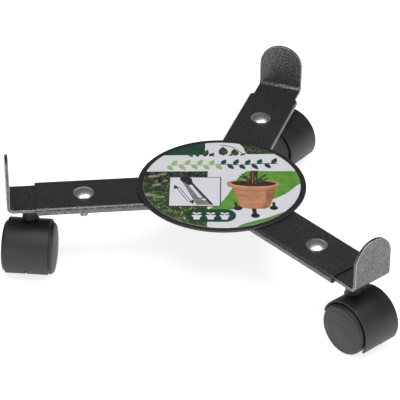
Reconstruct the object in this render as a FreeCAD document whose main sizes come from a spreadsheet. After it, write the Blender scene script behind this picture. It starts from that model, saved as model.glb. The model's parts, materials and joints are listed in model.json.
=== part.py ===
import FreeCAD, Part
import os
import re
import Sketcher

# Three-armed plant pot caddy. A round steel disc carries three folded steel channels, about 120 degrees apart. In each
# channel slides a flat bar with an upturned end, clamped by a mushroom-head bolt and standing on a twin-wheel castor.
# The origin is the centre of the disc's top, +Z up. Each arm's pieces are drawn along +X and turned into place.

DIMENSIONS = {
    # Hub
    "disc_radius": 65.0,
    "disc_thickness": 1.5,
    "disc_edge_round": 0.6,
    "label_radius": 60.5,
    "label_thickness": 0.2,
    "weld_leg": 2.4,
    "weld_start": 22.0,
    "weld_end": 58.0,
    # Channels: a flat top with folded sides and two return flanges below
    "channel_width": 40.5,
    "channel_height": 6.4,
    "channel_inner_end": 14.0,
    "channel_outer_end": 142.8,
    "sheet_thickness": 1.5,
    "fold_radius": 2.6,
    "flange_width": 8.0,
    # Slide bars with their upturned ends
    "slide_width": 35.0,
    "slide_thickness": 2.5,
    "slide_gap": 0.15,
    "slide_inner_end": 46.0,
    "slide_outer_face": 165.4,
    "slide_corner_round": 3.0,
    "slide_travel": 50.0,
    "slot_width": 6.8,
    "slot_corner_round": 3.3,
    "bend_radius": 5.0,
    "lip_height": 37.0,
    "lip_corner_round": 17.3,
    # Clamp bolts, washers and nuts (M6)
    "bolt_place": 106.2,
    "bolt_radius": 3.0,
    "bolt_length": 20.0,
    "bolt_tip_bevel": 0.6,
    "bolt_head_radius": 8.25,
    "bolt_head_rim": 0.6,
    "bolt_head_height": 3.3,
    "bolt_neck_width": 6.0,
    "bolt_neck_length": 1.6,
    "neck_hole_width": 6.2,
    "washer_radius": 6.25,
    "washer_hole_radius": 3.2,
    "washer_thickness": 1.6,
    "washer_gap": 0.1,
    "nut_half_flats": 5.0,
    "nut_height": 5.0,
    "nut_bevel": 0.45,
    # Castors
    "stem_place": 147.1,
    "castor_trail": 8.0,
    "axle_drop": 41.3,
    "rivet_head_radius": 3.6,
    "rivet_head_depth": 0.8,
    "rivet_radius": 3.0,
    "collar_radius": 6.0,
    "collar_thickness": 1.5,
    "collar_gap": 0.1,
    "stem_radius": 3.5,
    "stem_depth": 29.0,
    "stem_bevel": 0.8,
    "stem_play": 0.05,
    "clip_depth": 25.0,
    "clip_thickness": 0.8,
    "clip_inner_radius": 2.8,
    "clip_outer_radius": 4.3,
    "clip_room": 0.4,
    "neck_radius": 6.25,
    "hood_radius": 22.8,
    "hood_wall": 1.6,
    "hood_half_width": 16.6,
    "hood_back_angle": 30.0,
    "hood_front_angle": 165.0,
    "hood_edge_round": 0.7,
    "web_half_width": 6.4,
    "web_front_angle": 197.0,
    "notch_half_width": 0.6,
    "notch_height": 5.5,
    "axle_radius": 2.5,
    "axle_play": 0.05,
    "axle_bevel": 0.5,
    "wheel_radius": 20.1,
    "wheel_inner_face": 6.8,
    "wheel_outer_face": 20.6,
    "wheel_rim_wall": 2.6,
    "wheel_face_wall": 2.2,
    "wheel_face_crown": 0.9,
    "wheel_shoulder_round": 2.8,
    "wheel_hub_radius": 5.5,
    "axle_end_gap": 0.3,
    # Arm directions and the directions that the castors trail in, in degrees from +X
    "arm_angle_left": 180.0,
    "arm_angle_back": 66.0,
    "arm_angle_front": -55.5,
    "trail_angle_left": -101.6,
    "trail_angle_back": -44.6,
    "trail_angle_front": -54.4,
}

# Sizes and heights that follow from the driving dimensions.
DERIVED = {
    "channel_top": "-(disc_thickness + label_thickness)",
    "channel_bottom": "channel_top - channel_height",
    "slide_top": "channel_top - sheet_thickness - slide_gap",
    "slide_bottom": "slide_top - slide_thickness",
    "washer_bottom": "slide_bottom - washer_gap - washer_thickness",
    "nut_bottom": "washer_bottom - nut_height",
    "nut_corner_radius": "nut_half_flats / cos(30)",
    "head_rise": "bolt_head_height - bolt_head_rim",
    "collar_bottom": "slide_bottom - collar_thickness",
    "neck_top": "collar_bottom - collar_gap",
    "stem_bottom": "neck_top - stem_depth",
    "clip_top": "neck_top - clip_depth",
    "axle_height": "channel_top - axle_drop",
    "hood_inner_radius": "hood_radius - hood_wall",
    "shoulder_radius": "wheel_radius - wheel_shoulder_round",
    "shoulder_face": "wheel_outer_face - wheel_face_crown",
}

ARMS = ("left", "back", "front")
SIDES = {"a": 1, "b": -1}

doc = FreeCAD.newDocument("PotCaddy")
sheet = doc.addObject("Spreadsheet::Sheet", "Dimensions")
for row, (alias, number) in enumerate(DIMENSIONS.items(), start=1):
    sheet.set(f"A{row}", alias)
    sheet.set(f"B{row}", str(number))
    sheet.setAlias(f"B{row}", alias)
doc.recompute()


def bind(formula):
    """The formula with each name replaced by its spreadsheet cell, or by the formula it stands for."""

    def cell(match):
        name = match.group(0)
        if name in DERIVED:
            return "(" + bind(DERIVED[name]) + ")"
        return "Dimensions." + name if name in DIMENSIONS else name

    return re.sub(r"[a-z_]+", cell, formula)


def value(formula):
    """The formula's number, in millimetres or degrees."""
    return float(sheet.evalExpression(bind(formula)))


def new_body(label, place="0", angle=0.0, centre=FreeCAD.Vector(0, 0, 0)):
    """A body whose own origin lies at the centre plus the place along its own X, turned by the angle about Z."""
    body = doc.addObject("PartDesign::Body", label)
    body.Label = label
    turn = FreeCAD.Rotation(FreeCAD.Vector(0, 0, 1), angle)
    shift = turn.multVec(FreeCAD.Vector(value(place), 0, 0))
    body.Placement = FreeCAD.Placement(centre + shift, turn)
    return body


def castor_body(label, arm):
    """A body at the arm's castor stem, with +X in the direction that the castor trails."""
    turn = FreeCAD.Rotation(FreeCAD.Vector(0, 0, 1), value(f"arm_angle_{arm}"))
    stem = turn.multVec(FreeCAD.Vector(value("stem_place"), 0, 0))
    return new_body(label, angle=value(f"trail_angle_{arm}"), centre=stem)


def new_sketch(body, name, plane, along="0", across="0", normal="0"):
    """A sketch on one of the body's own planes, shifted in the sketch's directions."""
    sketch = body.newObject("Sketcher::SketchObject", f"{name}_{body.Name}")
    origin_plane = [f for f in body.Origin.OriginFeatures if f.Role == plane][0]
    sketch.AttachmentSupport = (origin_plane, [""])
    sketch.MapMode = "FlatFace"
    for axis, formula in (("x", along), ("y", across), ("z", normal)):
        if formula != "0":
            sketch.setExpression(f"AttachmentOffset.Base.{axis}", bind(formula))
    return sketch


def fix_point(sketch, edge, end, point):
    """Holds an edge's end (1 start, 2 end, 3 centre) at two formulas."""
    for axis, formula in zip("XY", point):
        if formula == "0":
            line = -2 if axis == "X" else -1
            sketch.addConstraint(Sketcher.Constraint("PointOnObject", edge, end, line))
            continue
        index = sketch.addConstraint(Sketcher.Constraint("Distance" + axis, -1, 1, edge, end, value(formula)))
        sketch.setExpression(f"Constraints[{index}]", bind(formula))


def fix_radius(sketch, edge, formula):
    index = sketch.addConstraint(Sketcher.Constraint("Radius", edge, value(formula)))
    sketch.setExpression(f"Constraints[{index}]", bind(formula))


def arc_middle(start, end, radius, side):
    """The middle of the short arc between two points, bulging to the left (side 1) or right (side -1)."""
    chord = end - start
    rise = radius - max(radius**2 - (chord.Length / 2) ** 2, 0.0) ** 0.5
    left = FreeCAD.Vector(-chord.y, chord.x, 0).normalize()
    return (start + end) * 0.5 + left * (side * rise)


def outline(sketch, corners, arcs=None):
    """A closed outline through the corners. arcs gives the radius and the side of the edges that aren't straight."""
    arcs = arcs or {}
    points = [FreeCAD.Vector(value(x), value(y), 0) for x, y in corners]
    first = sketch.GeometryCount
    ends = []
    for i, start in enumerate(points):
        end = points[(i + 1) % len(points)]
        if i in arcs:
            radius, side = arcs[i]
            edge = sketch.addGeometry(Part.Arc(start, arc_middle(start, end, value(radius), side), end))
        else:
            edge = sketch.addGeometry(Part.LineSegment(start, end))
        starts_here = (sketch.getPoint(edge, 1) - start).Length < (sketch.getPoint(edge, 2) - start).Length
        ends.append((1, 2) if starts_here else (2, 1))
    for i, corner in enumerate(corners):
        following = (i + 1) % len(corners)
        join = Sketcher.Constraint("Coincident", first + i, ends[i][1], first + following, ends[following][0])
        sketch.addConstraint(join)
        fix_point(sketch, first + i, ends[i][0], corner)
    for i, (radius, _) in arcs.items():
        fix_radius(sketch, first + i, radius)


def rectangle(sketch, left, right, low, high):
    outline(sketch, [(left, low), (right, low), (right, high), (left, high)])


def circle(sketch, x, y, radius):
    centre = FreeCAD.Vector(value(x), value(y), 0)
    edge = sketch.addGeometry(Part.Circle(centre, FreeCAD.Vector(0, 0, 1), value(radius)))
    fix_point(sketch, edge, 3, (x, y))
    fix_radius(sketch, edge, radius)


def pad(body, name, sketch, length, symmetric=False):
    feature = body.newObject("PartDesign::Pad", f"{name}_{body.Name}")
    feature.Profile = sketch
    feature.setExpression("Length", bind(length))
    feature.SideType = "Symmetric" if symmetric else "One side"
    doc.recompute()
    return feature


def cut_checked(body, feature, before):
    """A cut that leaves the body's volume as it was has missed the solid."""
    doc.recompute()
    if not body.Shape.Volume < before - 1e-6:
        raise RuntimeError(f"{feature.Name} cuts nothing")
    return feature


def cut_through(body, name, sketch):
    before = body.Shape.Volume
    feature = body.newObject("PartDesign::Pocket", f"{name}_{body.Name}")
    feature.Profile = sketch
    feature.Type = "ThroughAll"
    feature.SideType = "Symmetric"
    return cut_checked(body, feature, before)


def revolve(body, name, sketch):
    feature = body.newObject("PartDesign::Revolution", f"{name}_{body.Name}")
    feature.Profile = sketch
    feature.ReferenceAxis = (sketch, ["V_Axis"])
    feature.Angle = 360
    doc.recompute()
    return feature


def groove(body, name, sketch):
    before = body.Shape.Volume
    feature = body.newObject("PartDesign::Groove", f"{name}_{body.Name}")
    feature.Profile = sketch
    feature.ReferenceAxis = (sketch, ["V_Axis"])
    feature.Angle = 360
    return cut_checked(body, feature, before)


def edges_where(feature, test):
    """Names of the feature's edges whose middle point and direction pass the test."""
    names = []
    for i, edge in enumerate(feature.Shape.Edges, start=1):
        middle = edge.valueAt((edge.FirstParameter + edge.LastParameter) / 2)
        direction = edge.valueAt(edge.LastParameter) - edge.valueAt(edge.FirstParameter)
        if test(middle, direction):
            names.append(f"Edge{i}")
    return names


def round_edges(body, name, base, test, radius, kind="Fillet"):
    names = edges_where(base, test)
    if not names:
        raise RuntimeError(f"{name} of {body.Label} finds no edge")
    feature = body.newObject(f"PartDesign::{kind}", f"{name}_{body.Name}")
    feature.Base = (base, names)
    feature.setExpression("Radius" if kind == "Fillet" else "Size", bind(radius))
    doc.recompute()
    return feature


def near(number, formula):
    return abs(number - value(formula)) < 0.01


def lies_along(direction, axis):
    """True for a straight edge's direction along the axis named x, y or z."""
    return direction.Length > 0.01 and abs(getattr(direction, axis)) > 0.999 * direction.Length


def make_disc():
    body = new_body("hub_disc")
    sketch = new_sketch(body, "outline", "XY_Plane", normal="channel_top")
    circle(sketch, "0", "0", "disc_radius")
    plate = pad(body, "plate", sketch, "disc_thickness")
    round_edges(body, "rim", plate, lambda middle, _: near(middle.z, "-label_thickness"), "disc_edge_round")
    return body


def make_label():
    body = new_body("hub_label")
    sketch = new_sketch(body, "outline", "XY_Plane", normal="-label_thickness")
    circle(sketch, "0", "0", "label_radius")
    pad(body, "sticker", sketch, "label_thickness")
    return body


def make_welds():
    """Six fillet welds under the disc, one along each side of each channel."""
    beads = []
    for arm in ARMS:
        for side, sign in SIDES.items():
            bead = new_body(f"weld_{arm}_{side}", angle=value(f"arm_angle_{arm}"))
            sketch = new_sketch(bead, "section", "YZ_Plane", normal="weld_start")
            wall = f"{sign} * channel_width / 2"
            toe = f"{sign} * (channel_width / 2 + weld_leg)"
            outline(sketch, [(wall, "channel_top"), (toe, "channel_top"), (wall, "channel_top - weld_leg")])
            pad(bead, "bead", sketch, "weld_end - weld_start")
            beads.append(bead)
    welds = doc.addObject("Part::Compound", "hub_welds")
    welds.Label = "hub_welds"
    welds.Links = beads
    return welds


def make_channel(arm):
    """A folded C: flat top, rounded folds, two return flanges, and a square hole for the bolt's neck."""
    body = new_body(f"channel_{arm}", angle=value(f"arm_angle_{arm}"))
    half = "channel_width / 2"
    section = new_sketch(body, "section", "YZ_Plane", normal="channel_inner_end")
    rectangle(section, f"-{half}", half, "channel_bottom", "channel_top")
    bar = pad(body, "bar", section, "channel_outer_end - channel_inner_end")

    def is_fold(middle, direction):
        return lies_along(direction, "x") and near(abs(middle.y), half)

    round_edges(body, "folds", bar, is_fold, "fold_radius")
    inside = new_sketch(body, "inside", "YZ_Plane", normal="channel_inner_end")
    reach = f"{half} - sheet_thickness"
    low = "channel_bottom + sheet_thickness"
    rectangle(inside, f"-({reach})", reach, low, "channel_top - sheet_thickness")
    cut_through(body, "hollow", inside)
    mouth = new_sketch(body, "mouth", "YZ_Plane", normal="channel_inner_end")
    gap = f"{half} - flange_width"
    rectangle(mouth, f"-({gap})", gap, "channel_bottom - sheet_thickness", low)
    cut_through(body, "gap", mouth)
    hole = new_sketch(body, "neck_hole", "XY_Plane")
    reach = "neck_hole_width / 2"
    rectangle(hole, f"bolt_place - {reach}", f"bolt_place + {reach}", f"-{reach}", reach)
    cut_through(body, "neck_pocket", hole)
    return body


def make_slide(arm):
    """A flat bar with a long slot, rounded inner corners, and an outer end turned up into a round-topped lip."""
    body = new_body(f"slide_{arm}", angle=value(f"arm_angle_{arm}"))
    half = "slide_width / 2"
    flat = new_sketch(body, "flat", "XY_Plane", normal="slide_bottom")
    rectangle(flat, "slide_inner_end", "slide_outer_face", f"-{half}", half)
    bar = pad(body, "bar", flat, "slide_thickness")

    def is_inner_corner(middle, direction):
        return lies_along(direction, "z") and near(middle.x, "slide_inner_end")

    round_edges(body, "inner_corners", bar, is_inner_corner, "slide_corner_round")
    face = new_sketch(body, "face", "YZ_Plane", normal="slide_outer_face - slide_thickness")
    rectangle(face, f"-{half}", half, "slide_bottom", "slide_top + lip_height")
    lip = pad(body, "lip", face, "slide_thickness")

    def is_lip_corner(middle, direction):
        return lies_along(direction, "x") and near(middle.z, "slide_top + lip_height")

    lip = round_edges(body, "lip_corners", lip, is_lip_corner, "lip_corner_round")

    def is_outer_bend(middle, direction):
        return (
            lies_along(direction, "y")
            and near(middle.x, "slide_outer_face")
            and near(middle.z, "slide_bottom")
        )

    def is_inner_bend(middle, direction):
        return (
            lies_along(direction, "y")
            and near(middle.x, "slide_outer_face - slide_thickness")
            and near(middle.z, "slide_top")
        )

    lip = round_edges(body, "outer_bend", lip, is_outer_bend, "bend_radius")
    round_edges(body, "inner_bend", lip, is_inner_bend, "bend_radius - slide_thickness")
    slot = new_sketch(body, "slot", "XY_Plane")
    reach = "slot_width / 2"
    rectangle(slot, f"bolt_place - slide_travel - {reach}", f"bolt_place + {reach}", f"-{reach}", reach)
    cut = cut_through(body, "slot_cut", slot)

    def is_slot_corner(middle, direction):
        return lies_along(direction, "z") and near(abs(middle.y), reach)

    round_edges(body, "slot_ends", cut, is_slot_corner, "slot_corner_round")
    seat = new_sketch(body, "seat", "XZ_Plane", along="stem_place")
    outline(
        seat,
        [
            ("0", "slide_bottom"),
            ("rivet_radius", "slide_bottom"),
            ("rivet_radius", "slide_top - rivet_head_depth"),
            ("rivet_head_radius", "slide_top"),
            ("0", "slide_top"),
        ],
    )
    groove(body, "rivet_hole", seat)
    return body


def make_bolt(arm):
    """A mushroom-head bolt with a square neck; the head sits on the channel's top."""
    body = new_body(f"clamp_bolt_{arm}", place="bolt_place", angle=value(f"arm_angle_{arm}"))
    sketch = new_sketch(body, "profile", "XZ_Plane")
    tip = "channel_top - bolt_length"
    outline(
        sketch,
        [
            ("0", tip),
            ("bolt_radius - bolt_tip_bevel", tip),
            ("bolt_radius", f"{tip} + bolt_tip_bevel"),
            ("bolt_radius", "channel_top"),
            ("bolt_head_radius", "channel_top"),
            ("bolt_head_radius", "channel_top + bolt_head_rim"),
            ("0", "channel_top + bolt_head_height"),
        ],
        arcs={5: ("(bolt_head_radius^2 + head_rise^2) / (2 * head_rise)", -1)},
    )
    revolve(body, "head_and_shank", sketch)
    neck = new_sketch(body, "neck", "XY_Plane", normal="channel_top - bolt_neck_length")
    reach = "bolt_neck_width / 2"
    rectangle(neck, f"-{reach}", reach, f"-{reach}", reach)
    pad(body, "square_neck", neck, "bolt_neck_length")
    return body


def make_washer(arm):
    body = new_body(f"clamp_washer_{arm}", place="bolt_place", angle=value(f"arm_angle_{arm}"))
    sketch = new_sketch(body, "ring", "XY_Plane", normal="washer_bottom")
    circle(sketch, "0", "0", "washer_radius")
    circle(sketch, "0", "0", "washer_hole_radius")
    pad(body, "plate", sketch, "washer_thickness")
    return body


def make_nut(arm):
    """A hexagon nut, its corners bevelled on both faces."""
    body = new_body(f"clamp_nut_{arm}", place="bolt_place", angle=value(f"arm_angle_{arm}"))
    sketch = new_sketch(body, "hexagon", "XY_Plane", normal="nut_bottom")
    corners = [(f"nut_corner_radius * cos({60 * i})", f"nut_corner_radius * sin({60 * i})") for i in range(6)]
    corners[0] = ("nut_corner_radius", "0")
    corners[3] = ("-nut_corner_radius", "0")
    outline(sketch, corners)
    circle(sketch, "0", "0", "bolt_radius")
    pad(body, "blank", sketch, "nut_height")
    for name, face, inward in (("lower", "nut_bottom", "+"), ("upper", "washer_bottom", "-")):
        bevel = new_sketch(body, f"{name}_bevel", "XZ_Plane")
        outline(
            bevel,
            [
                ("nut_half_flats", face),
                ("nut_corner_radius + nut_bevel", face),
                ("nut_corner_radius + nut_bevel", f"{face} {inward} 2 * nut_bevel"),
            ],
        )
        groove(body, f"{name}_cut", bevel)
    return body


def make_pin(arm):
    """The castor's steel pin: riveted flush into the slide, a collar below it, and a stem with a clip groove."""
    body = castor_body(f"castor_pin_{arm}", arm)
    sketch = new_sketch(body, "profile", "XZ_Plane")
    clip_bottom = "clip_top - clip_thickness"
    outline(
        sketch,
        [
            ("0", "stem_bottom"),
            ("stem_radius - stem_bevel", "stem_bottom"),
            ("stem_radius", "stem_bottom + stem_bevel"),
            ("stem_radius", clip_bottom),
            ("clip_inner_radius", clip_bottom),
            ("clip_inner_radius", "clip_top"),
            ("stem_radius", "clip_top"),
            ("stem_radius", "collar_bottom"),
            ("collar_radius", "collar_bottom"),
            ("collar_radius", "slide_bottom"),
            ("rivet_radius", "slide_bottom"),
            ("rivet_radius", "slide_top - rivet_head_depth"),
            ("rivet_head_radius", "slide_top"),
            ("0", "slide_top"),
        ],
    )
    revolve(body, "turned", sketch)
    return body


def make_clip(arm):
    """The ring in the pin's groove that keeps the hood on the pin."""
    body = castor_body(f"castor_clip_{arm}", arm)
    sketch = new_sketch(body, "ring", "XY_Plane", normal="clip_top - clip_thickness")
    circle(sketch, "0", "0", "clip_outer_radius")
    circle(sketch, "0", "0", "clip_inner_radius")
    pad(body, "ring_plate", sketch, "clip_thickness")
    return body


def on_hood(radius, angle):
    """The point of the hood's side view at that radius and angle round the axle."""
    return (f"castor_trail + {radius} * cos({angle})", f"axle_height + {radius} * sin({angle})")


def make_hood(arm):
    """The moulded hood: a middle web with the stem's neck and the axle's bore, under a curved cover."""
    body = castor_body(f"castor_hood_{arm}", arm)
    web = new_sketch(body, "web", "XZ_Plane")
    back = on_hood("hood_radius", "-hood_back_angle")
    top = on_hood("hood_radius", "90")
    front = on_hood("hood_radius", "web_front_angle")
    outline(web, [back, top, front], arcs={0: ("hood_radius", -1), 1: ("hood_radius", -1)})
    pad(body, "web_plate", web, "2 * web_half_width", symmetric=True)
    cover = new_sketch(body, "cover", "XZ_Plane")
    outline(
        cover,
        [
            back,
            top,
            on_hood("hood_radius", "hood_front_angle"),
            on_hood("hood_inner_radius", "hood_front_angle"),
            on_hood("hood_inner_radius", "90"),
            on_hood("hood_inner_radius", "-hood_back_angle"),
        ],
        arcs={
            0: ("hood_radius", -1),
            1: ("hood_radius", -1),
            3: ("hood_inner_radius", 1),
            4: ("hood_inner_radius", 1),
        },
    )
    shell = pad(body, "cover_shell", cover, "2 * hood_half_width", symmetric=True)

    def is_side_edge(middle, direction):
        off_axle = FreeCAD.Vector(middle.x - value("castor_trail"), 0, middle.z - value("axle_height"))
        return near(abs(middle.y), "hood_half_width") and near(off_axle.Length, "hood_radius")

    round_edges(body, "cover_edges", shell, is_side_edge, "hood_edge_round")
    neck = new_sketch(body, "neck", "XY_Plane", normal="axle_height")
    circle(neck, "0", "0", "neck_radius")
    pad(body, "neck_post", neck, "neck_top - axle_height")
    bore = new_sketch(body, "bore", "XZ_Plane")
    wall = "stem_radius + stem_play"
    room = "clip_outer_radius + clip_room"
    room_top = "clip_top + clip_room"
    room_bottom = "clip_top - clip_thickness - clip_room"
    end = "stem_bottom - clip_room"
    outline(
        bore,
        [
            ("0", end),
            (wall, end),
            (wall, room_bottom),
            (room, room_bottom),
            (room, room_top),
            (wall, room_top),
            (wall, "neck_top"),
            ("0", "neck_top"),
        ],
    )
    groove(body, "stem_bore", bore)
    axle = new_sketch(body, "axle_hole", "XZ_Plane")
    circle(axle, "castor_trail", "axle_height", "axle_radius")
    cut_through(body, "axle_bore", axle)
    make_notch(body)
    return body


def make_notch(body):
    """The small slit in the middle of the cover's trailing edge."""
    before = body.Shape.Volume
    edge_x, edge_z = on_hood("hood_radius", "-hood_back_angle")
    sketch = new_sketch(body, "notch", "YZ_Plane", normal=f"{edge_x} + hood_wall")
    rectangle(sketch, "-notch_half_width", "notch_half_width", f"{edge_z} - hood_wall", f"{edge_z} + notch_height")
    feature = body.newObject("PartDesign::Pocket", f"notch_cut_{body.Name}")
    feature.Profile = sketch
    feature.setExpression("Length", bind("3 * hood_wall"))
    return cut_checked(body, feature, before)


def make_axle(arm):
    body = castor_body(f"castor_axle_{arm}", arm)
    sketch = new_sketch(body, "section", "XZ_Plane")
    circle(sketch, "castor_trail", "axle_height", "axle_radius")
    half = "(wheel_outer_face - wheel_face_wall - wheel_face_crown - axle_end_gap)"
    rod = pad(body, "rod", sketch, f"2 * {half}", symmetric=True)

    def is_end(middle, direction):
        return near(abs(middle.y), half)

    round_edges(body, "end_bevels", rod, is_end, "axle_bevel", kind="Chamfer")
    return body


def make_wheel(arm, side):
    """One of the pair of wheels: a cup, open towards the hood's web, with a blind hub and a crowned outer face."""
    body = castor_body(f"castor_wheel_{arm}_{side}", arm)
    sign = SIDES[side]
    sketch = new_sketch(body, "profile", "XY_Plane", along="castor_trail", normal="axle_height")
    inner = "wheel_inner_face"
    blind = "wheel_outer_face - wheel_face_wall - wheel_face_crown"
    crown = "(shoulder_radius^2 + wheel_face_crown^2) / (2 * wheel_face_crown)"
    corners = [
        ("0", blind),
        ("axle_radius + axle_play", blind),
        ("axle_radius + axle_play", inner),
        ("wheel_hub_radius", inner),
        ("wheel_hub_radius", blind),
        ("wheel_radius - wheel_rim_wall", blind),
        ("wheel_radius - wheel_rim_wall", inner),
        ("wheel_radius", inner),
        ("wheel_radius", "shoulder_face - wheel_shoulder_round"),
        ("shoulder_radius", "shoulder_face"),
        ("0", "wheel_outer_face"),
    ]
    outline(
        sketch,
        [(x, f"{sign} * ({y})") for x, y in corners],
        arcs={8: ("wheel_shoulder_round", -sign), 9: (crown, -sign)},
    )
    revolve(body, "cup", sketch)
    return body


def make_arm(arm):
    pieces = [make_channel(arm), make_slide(arm), make_bolt(arm), make_washer(arm), make_nut(arm)]
    pieces += [make_pin(arm), make_clip(arm), make_hood(arm), make_axle(arm)]
    return pieces + [make_wheel(arm, side) for side in SIDES]


def export(pieces):
    """Stops on any failed object or bad shape, then writes one STEP file for each piece."""
    doc.recompute()
    failed = [o.Name for o in doc.Objects if "Invalid" in o.State or "Error" in o.State]
    if failed:
        raise RuntimeError(f"failed objects: {failed}")
    for piece in pieces:
        if piece.Shape.isNull() or not piece.Shape.isValid():
            raise RuntimeError(f"{piece.Label} has no valid shape")
    os.makedirs("parts", exist_ok=True)
    for piece in pieces:
        piece.Shape.exportStep(f"parts/{piece.Label}.step")
        print(piece.Label, len(piece.Shape.Solids), "solid(s),", round(piece.Shape.Volume), "mm3")


all_pieces = [make_disc(), make_label(), make_welds()]
for arm_name in ARMS:
    all_pieces += make_arm(arm_name)
export(all_pieces)
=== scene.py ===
import json
import math

import bmesh
import bpy
from mathutils import Matrix, Vector


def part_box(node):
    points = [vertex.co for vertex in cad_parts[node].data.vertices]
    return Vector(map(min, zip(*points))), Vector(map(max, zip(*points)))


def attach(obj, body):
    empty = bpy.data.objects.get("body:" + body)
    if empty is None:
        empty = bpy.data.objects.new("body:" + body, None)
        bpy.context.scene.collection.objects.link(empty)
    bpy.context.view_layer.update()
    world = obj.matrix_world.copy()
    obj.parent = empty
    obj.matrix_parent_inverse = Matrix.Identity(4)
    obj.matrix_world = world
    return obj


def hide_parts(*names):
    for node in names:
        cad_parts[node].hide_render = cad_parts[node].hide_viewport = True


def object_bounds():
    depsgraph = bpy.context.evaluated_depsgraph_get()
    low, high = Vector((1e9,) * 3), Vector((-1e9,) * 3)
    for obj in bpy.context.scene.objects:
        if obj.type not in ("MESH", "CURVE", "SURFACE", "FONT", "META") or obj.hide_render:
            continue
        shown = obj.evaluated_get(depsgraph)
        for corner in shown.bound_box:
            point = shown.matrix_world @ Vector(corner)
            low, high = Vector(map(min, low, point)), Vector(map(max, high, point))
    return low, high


# The looks of a three-armed plant pot caddy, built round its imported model. Lengths are in metres.
# Each arm's pieces are drawn along +X, and each castor's with +X in the direction it trails, then
# turned into place by the joints.
MM = 0.001
ARMS = ("left", "back", "front")
SHEET_THICKNESS = 1.5 * MM
FOLD_RADIUS = 2.6 * MM
FLANGE_WIDTH = 8.0 * MM
BEND_RADIUS = 5.0 * MM
SLIDE_THICKNESS = 2.5 * MM
SLIDE_CORNER = 3.0 * MM
SLOT_WIDTH = 6.8 * MM
SLOT_BEHIND_BOLT = 50.0 * MM
PIN_HEAD_RADIUS = 3.6 * MM
# Widths of the rounded edges that take the lighter edge paint: partly wear, partly painted highlight.
CHANNEL_WORN_HIGHLIT_EDGE = 0.22 * MM
SLIDE_WORN_HIGHLIT_EDGE = 0.3 * MM
BOLT_RADIUS = 3.0 * MM
BOLT_HEAD_RIM = 0.6 * MM
BOLT_HEAD_HEIGHT = 3.3 * MM
THREAD_PITCH = 1.0 * MM
THREAD_DEPTH = 0.55 * MM
HOOD_RADIUS = 22.8 * MM
HOOD_SHIFT = 0.4 * MM
HOOD_WALL = 1.6 * MM
HOOD_HALF_WIDTH = 16.6 * MM
HOOD_BACK = math.radians(-30)
HOOD_FRONT = math.radians(165)
WEB_HALF_WIDTH = 6.4 * MM
WEB_FRONT = math.radians(197)
NECK_RADIUS = 6.25 * MM
NECK_FLARE = 0.9 * MM
STEM_BORE = 3.55 * MM
NOTCH_HALF_WIDTH = 0.5 * MM
NOTCH_DEPTH = 0.9 * MM
NOTCH_ANGLE = math.radians(12)
WHEEL_INNER_FACE = 6.8 * MM
WHEEL_OUTER_FACE = 20.6 * MM
WHEEL_SHOULDER = 2.8 * MM
INK = 0.012 * MM
INK_STEP = 0.0006 * MM

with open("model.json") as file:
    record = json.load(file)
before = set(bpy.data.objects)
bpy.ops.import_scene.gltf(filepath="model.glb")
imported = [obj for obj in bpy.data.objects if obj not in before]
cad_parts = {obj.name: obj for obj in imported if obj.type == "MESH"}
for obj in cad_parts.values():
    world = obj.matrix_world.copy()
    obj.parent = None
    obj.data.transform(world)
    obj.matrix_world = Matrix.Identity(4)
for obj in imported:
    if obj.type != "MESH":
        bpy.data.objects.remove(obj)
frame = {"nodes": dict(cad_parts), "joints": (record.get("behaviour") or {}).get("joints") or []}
cad_low, cad_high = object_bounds()
joints = {joint["name"]: joint for joint in frame["joints"]}
channel_low, channel_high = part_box("channel_left")
slide_low, slide_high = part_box("slide_left")
bolt_low, bolt_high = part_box("clamp_bolt_left")
disc_low, disc_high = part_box("hub_disc")
label_low, label_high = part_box("hub_label")
hood_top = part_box("castor_hood_left")[1].z
wheel_low, wheel_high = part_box("castor_wheel_left_a")

channel_top = channel_high.z
channel_half_width = channel_high.y
slide_half_width = slide_high.y
slide_bottom = slide_low.z
slide_top = slide_bottom + SLIDE_THICKNESS
bolt_place = -(bolt_low.x + bolt_high.x) / 2
bolt_head_radius = (bolt_high.x - bolt_low.x) / 2
disc_radius = disc_high.x
label_radius = label_high.x
wheel_radius = (wheel_high.z - wheel_low.z) / 2
axle_height = joints["spin_left_a"]["pos_m"][2]
stem_axis = Vector(joints["swivel_left"]["pos_m"]).xy
castor_trail = (Vector(joints["spin_left_a"]["pos_m"]).xy - stem_axis).length
stem_place = stem_axis.length


# Places

def basis(x_axis, origin):
    """The matrix of an upright local frame with that X axis."""
    x = Vector((x_axis[0], x_axis[1], 0)).normalized()
    z = Vector((0, 0, 1))
    y = z.cross(x)
    return Matrix.Translation(origin) @ Matrix((x, y, z)).transposed().to_4x4()


def arm_matrix(arm):
    """The hub's middle, +X outwards along the arm."""
    return basis(joints[f"slide_out_{arm}"]["axis"], Vector((0, 0, 0)))


def castor_matrix(arm):
    """The stem's axis at height 0, +X towards the axle."""
    stem = Vector(joints[f"swivel_{arm}"]["pos_m"])
    axle = Vector(joints[f"spin_{arm}_a"]["pos_m"])
    return basis((axle - stem).xy, Vector((stem.x, stem.y, 0)))


# Meshes

def grid(bm, rows, closed_u=False, closed_v=False):
    """Joins rows of points into faces. closed_u joins each row's ends, closed_v the outer rows."""
    verts = [[bm.verts.new(p) for p in row] for row in rows]
    count_v = len(verts) if closed_v else len(verts) - 1
    count_u = len(verts[0]) if closed_u else len(verts[0]) - 1
    for i in range(count_v):
        for j in range(count_u):
            a, b = verts[i], verts[(i + 1) % len(verts)]
            k = (j + 1) % len(verts[0])
            bm.faces.new((a[j], a[k], b[k], b[j]))
    return verts


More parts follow.
